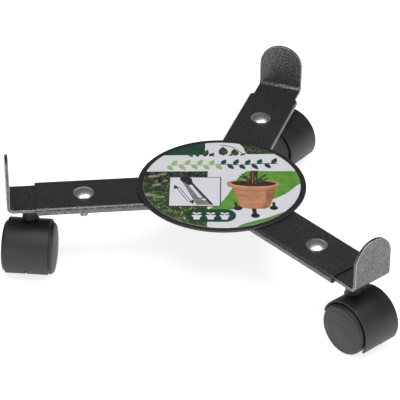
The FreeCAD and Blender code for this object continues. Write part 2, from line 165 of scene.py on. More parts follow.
def lathe(bm, profile, axis="Z", centre=Vector((0, 0, 0)), steps=96):
    """Turns (radius, height) points about an axis. A profile that ends at radius 0 closes there."""
    rows = []
    for radius, height in profile:
        row = []
        for i in range(steps):
            a = 2 * math.pi * i / steps
            c, s = radius * math.cos(a), radius * math.sin(a)
            offset = Vector((c, s, height)) if axis == "Z" else Vector((s, height, c))
            row.append(centre + offset)
        rows.append(row)
    grid(bm, rows, closed_u=True)
    bmesh.ops.remove_doubles(bm, verts=bm.verts, dist=1e-7)
    bmesh.ops.dissolve_degenerate(bm, edges=bm.edges, dist=1e-8)
    bmesh.ops.recalc_face_normals(bm, faces=bm.faces)


def arc(centre, radius, start, end, steps):
    """Points round a centre, from one angle to another."""
    angles = [start + (end - start) * i / steps for i in range(steps + 1)]
    return [(centre[0] + radius * math.cos(a), centre[1] + radius * math.sin(a)) for a in angles]


def make(name, bm, body, materials, matrix=Matrix.Identity(4), replaces=(), sharp=35):
    """Turns the mesh into a named piece in the row's frame, riding on a body."""
    bmesh.ops.recalc_face_normals(bm, faces=bm.faces)
    bm.transform(matrix)
    mesh = bpy.data.meshes.new(name)
    bm.to_mesh(mesh)
    bm.free()
    for polygon in mesh.polygons:
        polygon.use_smooth = True
    mesh.set_sharp_from_angle(angle=math.radians(sharp))
    for material in materials:
        mesh.materials.append(material)
    obj = bpy.data.objects.new(name, mesh)
    bpy.context.scene.collection.objects.link(obj)
    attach(obj, body)
    if replaces:
        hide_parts(*replaces)
    return obj


def apply_modifiers(obj):
    """Makes the modifiers' result the piece's own mesh."""
    depsgraph = bpy.context.evaluated_depsgraph_get()
    mesh = bpy.data.meshes.new_from_object(obj.evaluated_get(depsgraph))
    obj.modifiers.clear()
    obj.data = mesh


def worn_and_highlit_edges(obj, width):
    """Rounds the sharp edges, and gives the rounding the piece's second material, a lighter paint that is
    partly real wear and partly a painted highlight where the edges catch the light.
    """
    bevel = obj.modifiers.new("edges", "BEVEL")
    bevel.width = width
    bevel.segments = 2
    bevel.limit_method = "ANGLE"
    bevel.angle_limit = math.radians(40)
    bevel.material = 1
    bevel.harden_normals = False
    apply_modifiers(obj)


def shade_planes_flat(mesh):
    """Shades the faces square to the local axes flat, so that the rounded edges do not tint them."""
    for polygon in mesh.polygons:
        polygon.use_smooth = max(abs(c) for c in polygon.normal) < 0.99999


def boolean(obj, other, operation):
    """Joins or cuts a mesh with another, which is then removed."""
    modifier = obj.modifiers.new("boolean", "BOOLEAN")
    modifier.operation = operation
    modifier.solver = "EXACT"
    modifier.object = other
    apply_modifiers(obj)
    bpy.data.objects.remove(other)


def loose_object(bm, name):
    """A helper mesh that a boolean uses up."""
    bmesh.ops.recalc_face_normals(bm, faces=bm.faces)
    mesh = bpy.data.meshes.new(name)
    bm.to_mesh(mesh)
    bm.free()
    obj = bpy.data.objects.new(name, mesh)
    bpy.context.scene.collection.objects.link(obj)
    return obj


# Materials

class Nodes:
    """Short calls for one material's node tree."""

    def __init__(self, name):
        self.material = bpy.data.materials.new(name)
        self.material.use_nodes = True
        self.tree = self.material.node_tree
        self.shader = self.tree.nodes["Principled BSDF"]
        coordinates = self.tree.nodes.new("ShaderNodeTexCoord")
        self.place = coordinates.outputs["Object"]

    def link(self, output, target):
        self.tree.links.new(output, target)

    def noise(self, scale, detail=2.0, roughness=0.5, vector=None):
        node = self.tree.nodes.new("ShaderNodeTexNoise")
        node.inputs["Scale"].default_value = scale
        node.inputs["Detail"].default_value = detail
        node.inputs["Roughness"].default_value = roughness
        self.link(vector or self.place, node.inputs["Vector"])
        return node.outputs["Fac"]

    def cells(self, scale, feature="F1"):
        node = self.tree.nodes.new("ShaderNodeTexVoronoi")
        node.feature = feature
        node.inputs["Scale"].default_value = scale
        self.link(self.place, node.inputs["Vector"])
        return node.outputs["Distance"]

    def stretched(self, x, y, z):
        node = self.tree.nodes.new("ShaderNodeMapping")
        node.inputs["Scale"].default_value = (x, y, z)
        self.link(self.place, node.inputs["Vector"])
        return node.outputs["Vector"]

    def ramp(self, value, stops):
        """A colour ramp from (position, colour) stops."""
        node = self.tree.nodes.new("ShaderNodeValToRGB")
        elements = node.color_ramp.elements
        while len(elements) < len(stops):
            elements.new(0.5)
        for element, (position, colour) in zip(elements, stops):
            element.position = position
            element.color = (*colour, 1.0)
        self.link(value, node.inputs["Fac"])
        return node.outputs["Color"]

    def grey(self, value, low, high, start=0.0, end=1.0):
        return self.ramp(value, [(start, (low,) * 3), (end, (high,) * 3)])

    def maths(self, operation, a, b):
        node = self.tree.nodes.new("ShaderNodeMath")
        node.operation = operation
        for socket, value in zip(node.inputs, (a, b)):
            if isinstance(value, (int, float)):
                socket.default_value = value
            else:
                self.link(value, socket)
        return node.outputs["Value"]

    def mix(self, factor, a, b):
        node = self.tree.nodes.new("ShaderNodeMix")
        node.data_type = "RGBA"
        self.link(factor, node.inputs["Factor"])
        for socket, value in ((node.inputs[6], a), (node.inputs[7], b)):
            if isinstance(value, tuple):
                socket.default_value = (*value, 1.0)
            else:
                self.link(value, socket)
        return node.outputs[2]

    def bump(self, height, distance, strength=1.0, under=None):
        node = self.tree.nodes.new("ShaderNodeBump")
        node.inputs["Distance"].default_value = distance
        node.inputs["Strength"].default_value = strength
        self.link(height, node.inputs["Height"])
        if under is not None:
            self.link(under, node.inputs["Normal"])
        return node.outputs["Normal"]

    def finish(self, colour=None, roughness=None, normal=None, **fixed):
        """Links what varies, and sets what is the same all over on the shader's own sockets."""
        for value, socket in ((colour, "Base Color"), (roughness, "Roughness"), (normal, "Normal")):
            if value is None:
                continue
            if isinstance(value, (int, float)):
                self.shader.inputs[socket].default_value = value
            elif isinstance(value, tuple):
                self.shader.inputs[socket].default_value = (*value, 1.0)
            else:
                self.link(value, self.shader.inputs[socket])
        for socket, value in fixed.items():
            self.shader.inputs[socket.replace("_", " ")].default_value = value
        return self.material


def hammertone(name, dark, light, metallic, shine):
    """Charcoal hammertone enamel: a metallic ground broken into small dimples and fine flake."""
    n = Nodes(name)
    dimples = n.cells(950, "SMOOTH_F1")
    flake = n.noise(2600, 3.0, 0.6)
    cloud = n.noise(60, 3.0)
    grain = n.maths("ADD", n.maths("MULTIPLY", dimples, 0.55), n.maths("MULTIPLY", flake, 0.6))
    between = tuple((d + l) / 2 for d, l in zip(dark, light))
    colour = n.ramp(grain, [(0.28, dark), (0.5, between), (0.78, light)])
    colour = n.mix(n.grey(cloud, 0.0, 0.22), colour, dark)
    roughness = n.grey(n.maths("ADD", n.maths("MULTIPLY", cloud, 0.4), n.maths("MULTIPLY", flake, 0.6)),
                       shine, shine + 0.22, 0.3, 0.7)
    normal = n.bump(flake, 0.10 * MM, 0.55, n.bump(dimples, 0.35 * MM, 0.8))
    return n.finish(colour, roughness, normal, Metallic=metallic)


def zinc(name):
    """Bright zinc plate, with faint swirls from tumbling."""
    n = Nodes(name)
    swirl = n.noise(900, 4.0, 0.65, n.stretched(1, 3, 1))
    cloud = n.noise(220, 2.0)
    colour = n.ramp(cloud, [(0.3, (0.60, 0.61, 0.63)), (0.7, (0.78, 0.79, 0.80))])
    normal = n.bump(swirl, 0.008 * MM, 0.3)
    return n.finish(colour, n.grey(swirl, 0.24, 0.38, 0.35, 0.7), normal, Metallic=1.0)


def plain_steel(name):
    """Bare drawn steel, faintly streaked along its length."""
    n = Nodes(name)
    drawn = n.noise(500, 3.0, 0.6, n.stretched(1, 1, 12))
    colour = n.ramp(drawn, [(0.3, (0.20, 0.20, 0.21)), (0.7, (0.42, 0.42, 0.43))])
    normal = n.bump(drawn, 0.02 * MM, 0.5)
    return n.finish(colour, n.grey(drawn, 0.28, 0.5, 0.3, 0.7), normal, Metallic=1.0)


def plastic(name, low, high, shine):
    """Moulded black nylon: a fine spark-eroded texture, slight bloom and a few scuffs."""
    n = Nodes(name)
    texture = n.noise(3200, 2.0)
    bloom = n.noise(70, 3.0, 0.55)
    scuff = n.noise(340, 5.0, 0.7, n.stretched(1, 1, 4))
    ground = n.grey(bloom, low, high, 0.3, 0.7)
    colour = n.mix(n.grey(scuff, 0.0, 0.5, 0.62, 0.8), ground, (high * 1.7,) * 3)
    roughness = n.grey(bloom, shine, shine + 0.12, 0.35, 0.65)
    normal = n.bump(texture, 0.05 * MM, 0.5, n.bump(scuff, 0.03 * MM, 0.25))
    return n.finish(colour, roughness, normal)


def ink(name, low, high, scale=140, shine=0.3):
    """Printed colour under a clear film, not quite even."""
    n = Nodes(name)
    colour = n.ramp(n.noise(scale, 3.0), [(0.35, low), (0.65, high)])
    roughness = n.grey(n.noise(400, 2.0), shine, shine + 0.1)
    return n.finish(colour, roughness, n.bump(n.noise(60, 2.0), 0.05 * MM, 0.3))


def foliage(name, shadows, leaves, lights, blossom, scale):
    """A printed hedge: leaf-like cells over deep shadow, with small pale flowers."""
    n = Nodes(name)
    leaf = n.cells(scale * 2.2)
    clump = n.noise(scale * 0.55, 4.0, 0.65)
    depth = n.maths("ADD", n.maths("MULTIPLY", leaf, 0.45), n.maths("MULTIPLY", clump, 0.75))
    colour = n.ramp(depth, [(0.38, lights), (0.5, leaves), (0.62, shadows)])
    petals = n.maths("LESS_THAN", n.cells(scale * 0.9), 0.16)
    where = n.maths("GREATER_THAN", n.noise(scale * 0.25, 2.0), 0.52)
    flowers = n.maths("MULTIPLY", n.maths("MULTIPLY", petals, where), blossom)
    colour = n.mix(flowers, colour, (0.75, 0.78, 0.72))
    return n.finish(colour, n.grey(clump, 0.28, 0.4), n.bump(clump, 0.02 * MM, 0.2))


PAINT = hammertone("hammertone_charcoal", (0.034, 0.034, 0.037), (0.25, 0.25, 0.26), 1.0, 0.27)
# Lighter, glossier paint for rounded edges: partly real wear, partly a painted highlight of edges
# catching the light.
PAINT_EDGE_WEAR_AND_HIGHLIGHT = hammertone("hammertone_edge_wear_and_highlight", (0.20, 0.20, 0.21), (0.60, 0.60, 0.61), 0.95, 0.26)
RIM_PAINT = hammertone("hammertone_rim", (0.03, 0.03, 0.032), (0.12, 0.12, 0.125), 0.85, 0.32)
ZINC = zinc("bright_zinc")
STEEL = plain_steel("drawn_steel")
HOOD_PLASTIC = plastic("nylon_hood", 0.012, 0.019, 0.44)
# Near-black plastic for the slit's walls: painted shade, so that the slit stays dark whatever the light.
SLIT_PAINTED_SHADE = plastic("nylon_slit_painted_shade", 0.001, 0.003, 0.75)
WHEEL_PLASTIC = plastic("nylon_wheel", 0.013, 0.020, 0.47)
INK_WHITE = ink("ink_white", (0.80, 0.80, 0.85), (0.83, 0.83, 0.88))
INK_DARK_GREEN = ink("ink_dark_green", (0.010, 0.052, 0.032), (0.016, 0.075, 0.045))
INK_LEAF_GREEN = ink("ink_leaf_green", (0.10, 0.30, 0.035), (0.16, 0.40, 0.06))
INK_PALE_GREEN = ink("ink_pale_green", (0.30, 0.52, 0.16), (0.36, 0.58, 0.20))
INK_GREY = ink("ink_grey", (0.16, 0.16, 0.17), (0.30, 0.30, 0.31), 320)
INK_BLACK = ink("ink_black", (0.012, 0.012, 0.013), (0.03, 0.03, 0.03), 320)
INK_CLAY = ink("ink_clay", (0.50, 0.20, 0.105), (0.66, 0.31, 0.18), 90)
INK_CLAY_SHADE = ink("ink_clay_shade", (0.36, 0.13, 0.065), (0.46, 0.19, 0.10), 120)
INK_SOIL = ink("ink_soil", (0.035, 0.014, 0.010), (0.10, 0.035, 0.02), 420)
INK_CLAY_LIGHT = ink("ink_clay_light", (0.66, 0.37, 0.24), (0.76, 0.46, 0.32), 160)
INK_STONE = ink("ink_stone", (0.20, 0.17, 0.13), (0.38, 0.34, 0.28), 300)
HEDGE = foliage("ink_hedge", (0.010, 0.016, 0.010), (0.060, 0.085, 0.040), (0.24, 0.27, 0.17), 0.5, 330)
MEADOW = foliage("ink_meadow", (0.030, 0.055, 0.018), (0.13, 0.22, 0.045), (0.34, 0.44, 0.15), 0.9, 300)
LEAFAGE = foliage("ink_leafage", (0.012, 0.030, 0.014), (0.075, 0.14, 0.045), (0.24, 0.33, 0.14), 0.3,
                  420)


# Hub

def build_disc():
    """The disc: a flat plate with a rounded, slightly rolled rim round the label's seat."""
    bm = bmesh.new()
    low, high = disc_low.z, disc_high.z
    edge = 0.7 * MM
    seat = label_radius + 0.35 * MM
    profile = [(0, low), (disc_radius - 0.4 * MM, low), (disc_radius, low + 0.4 * MM)]
    profile += arc((disc_radius - edge, high - edge + 0.1 * MM), edge, 0, math.pi / 2, 8)
    profile += [(seat + 0.9 * MM, high + 0.1 * MM), (seat + 0.2 * MM, high), (0, high)]
    lathe(bm, profile, steps=192)
    make("hub_disc_plate", bm, "frame", [RIM_PAINT], replaces=["hub_disc"])


def build_welds():
    """Rippled fillet welds along both sides of each channel, under the disc."""
    bm = bmesh.new()
    start, end = 22 * MM, 58 * MM
    leg = 2.1 * MM
    ripples = 24
    for arm in ARMS:
        for side in (-1, 1):
            rows = []
            for i in range(ripples * 4 + 1):
                share = i / (ripples * 4)
                x = start + (end - start) * share
                fade = min(1.0, 10 * share + 0.35, 10 * (1 - share) + 0.35)
                swell = leg * fade * (1 + 0.10 * math.cos(2 * math.pi * ripples * share))
                bead = arc((0, 0), swell, 0, -math.pi / 2, 6)
                points = [(0.0, 0.0)] + bead
                wall = channel_half_width - 0.3 * MM
                section = [Vector((x, side * (wall + y), channel_top + z)) for y, z in points]
                rows.append([arm_matrix(arm) @ point for point in section])
            verts = grid(bm, rows, closed_u=True)
            bm.faces.new(verts[0])
            bm.faces.new(verts[-1])
    make("hub_weld_beads", bm, "frame", [PAINT], replaces=["hub_welds"])


# Label. Its picture is drawn in millimetres, x to the right and y to the top of the picture.

PICTURE_TURN = math.radians(-7.2)


def inside_disc(points, radius, sides=128):
    """The part of an outline that lies in a circle round the origin (Sutherland and Hodgman's clip)."""
    clipped = list(points)
    for k in range(sides):
        a = 2 * math.pi * k / sides
        nx, ny = math.cos(a), math.sin(a)
        kept = []
        for i, here in enumerate(clipped):
            before = clipped[i - 1]
            d_here = nx * here[0] + ny * here[1] - radius
            d_before = nx * before[0] + ny * before[1] - radius
            if (d_here > 0) != (d_before > 0):
                share = d_before / (d_before - d_here)
                kept.append(tuple(b + (h - b) * share for b, h in zip(before, here)))
            if d_here <= 0:
                kept.append(here)
        clipped = kept
        if not clipped:
            return []
    return clipped


def curve(*knots, steps=8):
    """A smooth line through the knots (Catmull and Rom)."""
    points = []
    padded = [knots[0], *knots, knots[-1]]
    for i in range(1, len(padded) - 2):
        a, b, c, d = padded[i - 1:i + 3]
        for k in range(steps):
            t = k / steps
            points.append(tuple(
                0.5 * (2 * q + (r - p) * t + (2 * p - 5 * q + 4 * r - s) * t**2
                       + (3 * q - p - 3 * r + s) * t**3)
                for p, q, r, s in zip(a, b, c, d)))
    return points + [knots[-1]]


def oval(x, y, rx, ry, turn=0.0, steps=40):
    """An ellipse, turned by an angle in degrees."""
    c, s = math.cos(math.radians(turn)), math.sin(math.radians(turn))
    ring = arc((0, 0), 1.0, 0, 2 * math.pi * (1 - 1 / steps), steps - 1)
    return [(x + rx * u * c - ry * v * s, y + rx * u * s + ry * v * c) for u, v in ring]


def leaf(x, y, length, width, turn):
    """A pointed leaf from its stalk at x, y."""
    c, s = math.cos(math.radians(turn)), math.sin(math.radians(turn))
    spine = [i / 10 for i in range(11)]
    half = [width / 2 * math.sin(math.pi * t**0.8) for t in spine]
    side = [(t * length, w) for t, w in zip(spine, half)]
    side += [(t * length, -w) for t, w in list(zip(spine, half))[-2:0:-1]]
    return [(x + u * c - v * s, y + u * s + v * c) for u, v in side]


def round_box(x0, y0, x1, y1, radius, slope=0.0):
    """A box with round corners that climbs by the slope from left to right."""
    r = radius
    corners = ((x1 - r, y1 - r, 0), (x0 + r, y1 - r, 90), (x0 + r, y0 + r, 180), (x1 - r, y0 + r, 270))
    points = []
    for x, y, a in corners:
        points += arc((x, y), r, math.radians(a), math.radians(a + 90), 8)
    return [(x, y + slope * x) for x, y in points]


def strip(points, width):
    """A line of even width along straight runs."""
    left, right = [], []
    for i, (x, y) in enumerate(points):
        x0, y0 = points[max(i - 1, 0)]
        x1, y1 = points[min(i + 1, len(points) - 1)]
        length = math.hypot(x1 - x0, y1 - y0)
        nx, ny = -(y1 - y0) / length, (x1 - x0) / length
        left.append((x + nx * width / 2, y + ny * width / 2))
        right.append((x - nx * width / 2, y - ny * width / 2))
    return left + right[::-1]


def pot_sign(x, y, size):
    """A plain pot with a round-leaved sprout, drawn as solid shapes."""
    pot = [(-0.36, -0.06), (-0.26, -0.62), (0.26, -0.62), (0.36, -0.06)]
    brim = [(-0.46, 0.10), (-0.46, -0.10), (0.46, -0.10), (0.46, 0.10)]
    stalk = [(-0.04, 0.0), (-0.04, 0.40), (0.04, 0.40), (0.04, 0.0)]
    placed = [[(x + u * size, y + v * size) for u, v in shape] for shape in (pot, brim, stalk)]
    for side in (-1, 1):
        placed.append(oval(x + side * 0.21 * size, y + 0.40 * size, 0.20 * size, 0.13 * size, 28 * side))
    return placed


def garden_photo():
    """The printed garden behind the inset: flowers, a hedge, a bush and stones."""
    field = [(-70, 16), (-11, 18.5), (-10.5, -70), (-70, -70)]
    hedge = [(-70, 20), (-11, 18.4), (-10.9, 6)]
    hedge += curve((-24, 3), (-38, 7), (-46, -4), (-58, -2), (-70, -8))
    bush = curve((-64, 2), (-56, 5), (-47, 1), (-42, -6), (-44, -14), (-52, -16), (-62, -12), (-64, 2))
    stones = [oval(-52.5, 9.5, 4.6, 1.9, 8), oval(-46, 12.5, 3.6, 1.5, 4),
              oval(-54, -17, 5.2, 2.0, -6), oval(-46.5, -19.5, 3.4, 1.6, 10),
              oval(-50, -2.5, 3.8, 1.5, 14), oval(-43.5, 3.5, 2.0, 1.2, 0)]
    return [(MEADOW, [field]), (HEDGE, [hedge]), (LEAFAGE, [bush]), (INK_STONE, stones)]


def inset_drawing():
    """The white inset with its green border: a slotted arm, and the arrows that show it slides."""
    border = round_box(-40.5, -31.5, -0.5, 9.8, 0.6, 0.027)
    panel = round_box(-39.7, -30.7, -1.3, 9.0, 0.4, 0.027)
    bar = [(-31, 4), (-24, 4), (-6, -29.6), (-19, -30.0)]
    shade = [(-24.8, 2.6), (-24, 4), (-6, -29.6), (-8, -29.7)]
    slot = [(-26.2, -1), (-23.8, -1), (-14.6, -20), (-17.2, -20)]
    bolt = oval(-13.4, -22.4, 1.5, 1.3)
    arrows = [strip([(-34.6 + shift, -6.4), (-25.6 + shift, -25.4)], 0.55) for shift in (0, 2.4)]
    arrows.append([(-36.2, -2.6), (-36.8, -8.2), (-32.4, -6.4)])
    arrows.append([(-21.4, -29.0), (-24.9, -25.2), (-20.9, -23.2)])
    castor = [oval(-27.5, 5.2, 5, 4.0, -30), oval(-25, 0.8, 2.8, 3.2, 20)]
    return [(INK_DARK_GREEN, [border]), (INK_WHITE, [panel]), (INK_GREY, [bar]), (INK_BLACK, [shade]),
            (INK_WHITE, [slot, bolt]), (INK_BLACK, castor + arrows)]


def potted_plant():
    """A clay pot standing on a caddy, with its soil, a cut trunk and thin leaves."""
    feet = [oval(12.5, -33.5, 3.3, 2.9), oval(25.6, -43.4, 3.3, 3.0), oval(39.6, -32.4, 3.1, 2.8),
            [(23.0, -34), (26.2, -34), (26.8, -42), (23.8, -42)],
            [(38.4, -25), (40.6, -24.6), (41.0, -31), (38.8, -31)],
            [(9.4, -25.4), (11.0, -25.6), (12.8, -32), (10.6, -32)]]
    bowl = curve((8, -3), (10, -12), (12.5, -24), (14.5, -31.5), (19, -33.6), (25, -34), (31, -33.4),
                 (36, -31), (38.5, -22), (40.5, -10), (42, -2.5)) + [(25, -7)]
    shades = [curve((33, -4), (33.6, -14), (33.4, -24), (31, -33.4), (36, -31), (38.5, -22), (40.5, -10),
                    (42, -2.5)),
              strip(curve((8.8, -6.2), (16, -8.8), (26, -9.6), (35, -8.2), (41.4, -5.2), steps=3), 1.3)]
    bands = [strip(curve((10.6, -14), (18, -16.4), (26, -17), (34, -15.8), (39.6, -13), steps=3), 0.5),
             strip(curve((13, -26), (19, -28), (26, -28.4), (33, -27.4), (37.2, -25.2), steps=3), 0.5)]
    brim = curve((4, 2.8), (4.4, -1.8), (7, -4.6), (16, -7.2), (26, -8), (35, -6.6), (42.5, -3.6),
                 (44.6, 0.5), (44.6, 3.2))
    brim += curve((44.6, 3.2), (38, -1.6), (25, -3.6), (11, -1.8), (4, 2.8))
    light = strip(curve((5.6, 1.0), (12, -2.7), (25, -4.5), (37, -2.7), (43.4, 1.3), steps=3), 0.9)
    trunk = [(21.5, 0), (22.3, 19.3), (27.7, 19.6), (27.4, 9), (27.0, -0.4)]
    bark = [strip([(23.6, 1), (24.0, 18.6)], 0.7), strip([(26.0, 0.6), (25.8, 18.8)], 0.5)]
    shoots = [leaf(x, y, length, 1.9, turn) for x, y, length, turn in (
        (22, 2, 14, 118), (26, 2, 14, 60), (23, 4, 13, 140), (27, 3, 12, 35), (24.5, 3, 10, 12),
        (21, 3, 10, 168), (25, 8, 11, 82), (23, 9, 10, 100), (22, 6, 12, 128), (27, 6, 12, 48))]
    return [(INK_BLACK, feet), (INK_CLAY, [bowl, oval(24.5, 1.5, 20, 5.2)]),
            (INK_CLAY_SHADE, shades + bands), (INK_SOIL, [oval(24.5, 1.2, 17.6, 4.0)]),
            (INK_CLAY, [brim]), (INK_CLAY_LIGHT, [light]), (INK_SOIL, [trunk]),
            (INK_CLAY_SHADE, bark), (LEAFAGE, shoots)]


def banner_leaves():
    """A row of bold leaves on a stem, where a name would stand: pale on the left, dark on the right."""
    stem = curve((-42, 24.6), (-28, 27.2), (-14, 26.4), (0, 28.4), (14, 27.8), (28, 30.0), (43, 30.6),
                 steps=6)
    leaves = []
    for i in range(18):
        x, y = stem[2 * i]
        leaves.append(leaf(x, y, 7.6 + 0.8 * (i % 3), 4.3, 68 if i % 2 else -58))
    return [(INK_PALE_GREEN, [strip(stem[:18], 1.0)] + leaves[:9]),
            (INK_DARK_GREEN, [strip(stem[17:], 1.0)] + leaves[9:])]


def picture_layers():
    """(material, outlines), bottom layer first: a garden, a banner, an inset and a pot on a caddy."""
    sky_block = [(-70, 39), (-13.5, 41.5), (-13.5, 70), (-70, 70)]
    canopy = curve((8, 66), (16, 55), (19, 45), (28, 41), (40, 44), (52, 50), (60, 62), (30, 76))
    twig = strip(curve((-2, 57), (6, 55), (12, 50), (17, 42), steps=4), 0.6)
    banner = [(-70, 15.5), (70, 21.5), (70, 46.5), (-70, 38.5)]
    swoosh = curve((19, 19), (12, 8), (7, -9), (0, -25), (-9, -36), (4, -36), (22, -31), (38, -21),
                   (50, -11), (58, 0), (66, 6)) + [(66, 20.5)]
    grass = curve((8, -66), (14, -57), (24, -51), (36, -45), (48, -37)) + [(60, -60)]
    tufts = [leaf(x, y, length, width, turn) for x, y, length, width, turn in (
        (-23, 38, 8, 3.2, 120), (-19, 38.5, 9, 3.6, 98), (-14, 39, 11, 4.4, 76), (-10, 39.5, 7, 3, 56),
        (-6, 40, 6, 2.4, 140), (1, 41, 13.5, 7.5, 92), (5, 41, 6, 2.6, 34), (10.5, 41, 10.5, 6.2, 97),
        (14, 41.5, 6, 2.6, 40))]
    pill = round_box(-27, -52.5, 11, -35.5, 8.2, 0.02)
    signs = [shape for x in (-18.5, -8, 2.5) for shape in pot_sign(x, -44.6 + 0.02 * x, 8.2)]
    layers = [(INK_WHITE, [oval(0, 0, 62, 62, steps=128)])]
    layers += garden_photo()
    layers += [(INK_DARK_GREEN, [sky_block]), (LEAFAGE, [canopy]), (INK_BLACK, [twig]),
               (INK_LEAF_GREEN, [swoosh, grass]), (INK_WHITE, [banner]), (LEAFAGE, tufts)]
    layers += banner_leaves() + inset_drawing()
    layers += [(INK_DARK_GREEN, [pill]), (INK_WHITE, signs)]
    return layers + potted_plant()


def build_label():
    """The sticker's body, and its picture as thin layers of ink on top."""
    bm = bmesh.new()
    radius = label_radius
    profile = [(0, label_low.z), (radius, label_low.z), (radius, label_high.z - 0.05 * MM)]
    profile += [(radius - 0.05 * MM, label_high.z), (0, label_high.z)]
    lathe(bm, profile, steps=192)
    make("hub_label_film", bm, "frame", [INK_WHITE], replaces=["hub_label"])
    turn = Matrix.Rotation(PICTURE_TURN, 4, "Z")
    bm = bmesh.new()
    materials = []
    for level, (material, outlines) in enumerate(picture_layers()):
        if material not in materials:
            materials.append(material)
        for order, outline in enumerate(outlines):
            top = (level + 1) * INK + order * INK_STEP
            kept = inside_disc(outline, label_radius / MM - 0.05)
            add_ink(bm, kept, top, materials.index(material))
    make("hub_label_print", bm, "frame", materials, turn)


def add_ink(bm, points, top, index):
    """One flat closed patch of ink, thick enough to show above the layers below it."""
    kept = [p for i, p in enumerate(points) if math.dist(p, points[i - 1]) > 0.02]
    if len(kept) < 3:
        return
    low = [bm.verts.new((x * MM, y * MM, 0)) for x, y in kept]
    high = [bm.verts.new((x * MM, y * MM, top)) for x, y in kept]
    faces = [bm.faces.new(low[::-1]), bm.faces.new(high)]
    for i in range(len(kept)):
        faces.append(bm.faces.new((low[i - 1], low[i], high[i], high[i - 1])))
    for face in faces:
        face.material_index = index
    bmesh.ops.triangulate(bm, faces=faces[:2])


# Arms

def channel_section():
    """The channel's closed cross-section as (y, z), outside then inside, its folds as arcs."""
    t, r = SHEET_THICKNESS, FOLD_RADIUS
    w, top, low = channel_half_width, channel_high.z, channel_low.z
    q = math.pi / 2
    lip = w - FLANGE_WIDTH
    outside = [(-lip, low)]
    outside += arc((-w + r, low + r), r, -q, -2 * q, 8)
    outside += arc((-w + r, top - r), r, 2 * q, q, 8)
    outside += arc((w - r, top - r), r, q, 0, 8)
    outside += arc((w - r, low + r), r, 0, -q, 8)
    outside += [(lip, low)]
    s = r - t
    inside = [(lip, low + t)]
    inside += arc((w - r, low + r), s, -q, 0, 5)
    inside += arc((w - r, top - r), s, 0, q, 5)
    inside += arc((-w + r, top - r), s, q, 2 * q, 5)
    inside += arc((-w + r, low + r), s, 2 * q, 3 * q, 5)
    inside += [(-lip, low + t)]
    return outside + inside


def build_channel(arm):
    """The folded channel, its cut ends and flange edges slightly rounded, the rounding in a lighter paint
    that is partly wear and partly painted highlight.
    """
    bm = bmesh.new()
    section = channel_section()
    rows = [[Vector((x, y, z)) for y, z in section] for x in (-channel_high.x, -channel_low.x)]
    verts = grid(bm, rows, closed_u=True)
    ends = [bm.faces.new(verts[0]), bm.faces.new(verts[1])]
    bmesh.ops.triangulate(bm, faces=ends)
    piece = make(f"channel_{arm}_sheet", bm, "frame", [PAINT, PAINT_EDGE_WEAR_AND_HIGHLIGHT],
                 replaces=[f"channel_{arm}"])
    worn_and_highlit_edges(piece, CHANNEL_WORN_HIGHLIT_EDGE)
    shade_planes_flat(piece.data)
    piece.data.transform(arm_matrix(arm))


def slide_blank():
    """The slide's flat outline before bending, as (distance along, y), and its slot."""
    w = slide_half_width
    inner = -slide_high.x
    flat_end = -slide_low.x - BEND_RADIUS
    bend = math.pi / 2 * (BEND_RADIUS - SLIDE_THICKNESS / 2)
    height = slide_high.z - slide_bottom - BEND_RADIUS
    tip = flat_end + bend + height
    c = SLIDE_CORNER
    outline = arc((inner + c, -w + c), c, math.pi, 1.5 * math.pi, 6)
    outline += arc((tip - w, 0), w, -math.pi / 2, math.pi / 2, 40)
    outline += arc((inner + c, w - c), c, math.pi / 2, math.pi, 6)
    s = SLOT_WIDTH / 2
    slot = arc((bolt_place, 0), s, -math.pi / 2, math.pi / 2, 12)
    slot += arc((bolt_place - SLOT_BEHIND_BOLT, 0), s, math.pi / 2, 1.5 * math.pi, 12)
    return outline, slot, flat_end, bend


def pin_hole_cutter():
    """The cylinder that cuts the pin's hole in the flat blank."""
    bm = bmesh.new()
    deep = SLIDE_THICKNESS
    lathe(bm, [(0, -deep), (PIN_HEAD_RADIUS, -deep), (PIN_HEAD_RADIUS, deep), (0, deep)],
          centre=Vector((stem_place, 0, 0)), steps=48)
    return bm


def folded(point, flat_end, bend):
    """Moves a point of the flat sheet (z from its middle) to its place after the end is folded up."""
    x, y, z = point
    middle = slide_bottom + SLIDE_THICKNESS / 2
    radius = BEND_RADIUS - SLIDE_THICKNESS / 2
    if x <= flat_end:
        return Vector((x, y, middle + z))
    angle = min((x - flat_end) / bend, 1.0) * math.pi / 2
    rise = max(x - flat_end - bend, 0.0)
    outward = (radius - z) * math.sin(angle)
    up = radius - (radius - z) * math.cos(angle)
    return Vector((flat_end + outward, y, middle + up + rise))


